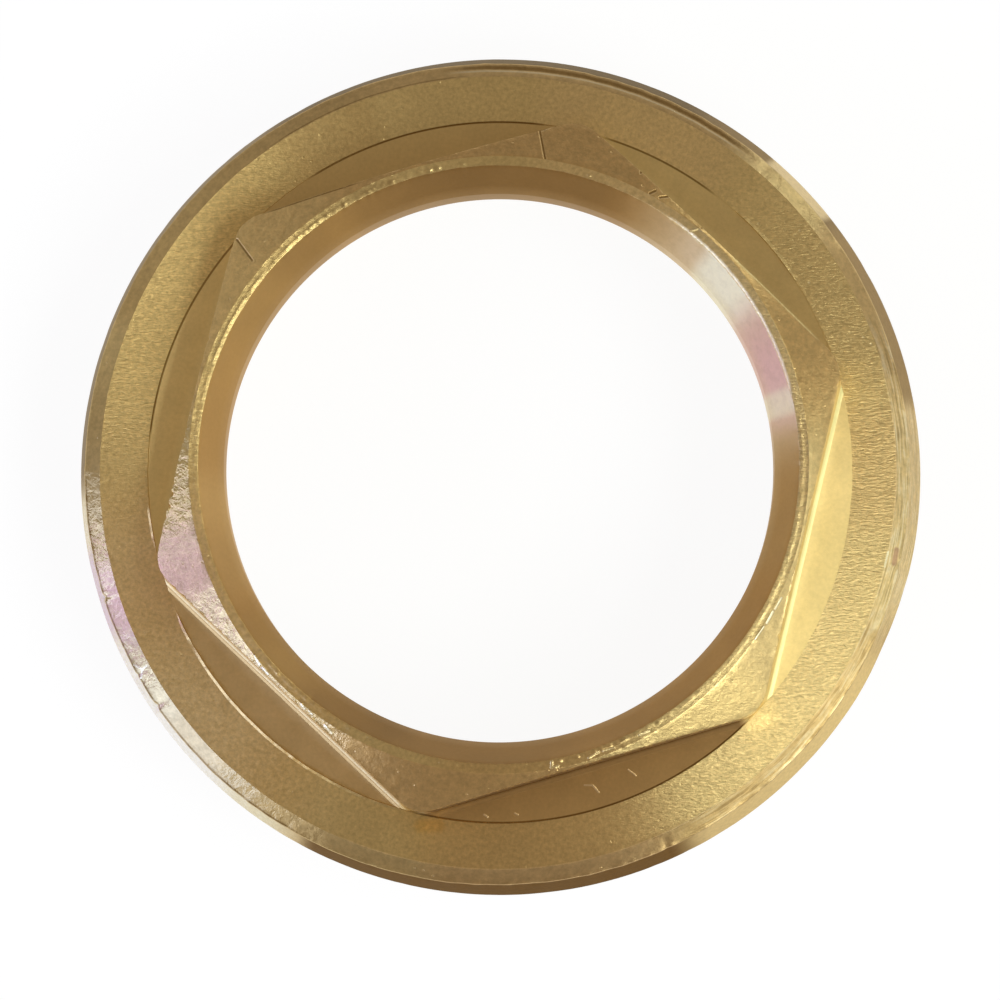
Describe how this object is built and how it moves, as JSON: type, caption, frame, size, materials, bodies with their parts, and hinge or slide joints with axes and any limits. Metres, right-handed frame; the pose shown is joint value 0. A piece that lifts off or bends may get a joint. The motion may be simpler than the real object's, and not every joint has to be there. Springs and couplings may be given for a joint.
{
  "type": "cartridge retaining nut",
  "caption": "Brass ring nut that holds the cartridge in a single-lever tap: low hexagon on a round flange, male thread and stepped bore below.",
  "frame": {"origin": "on the axis, in the thread's end face, on which the nut stands", "axes": "+Z along the bore towards the hexagon; +X square to one flat of the hexagon"},
  "size_m": [0.0494, 0.0494, 0.0142],
  "materials": {
    "brass": "satin, as turned and milled"
  },
  "bodies": {
    "root": {"retaining_nut": "brass"}
  },
  "joints": []
}
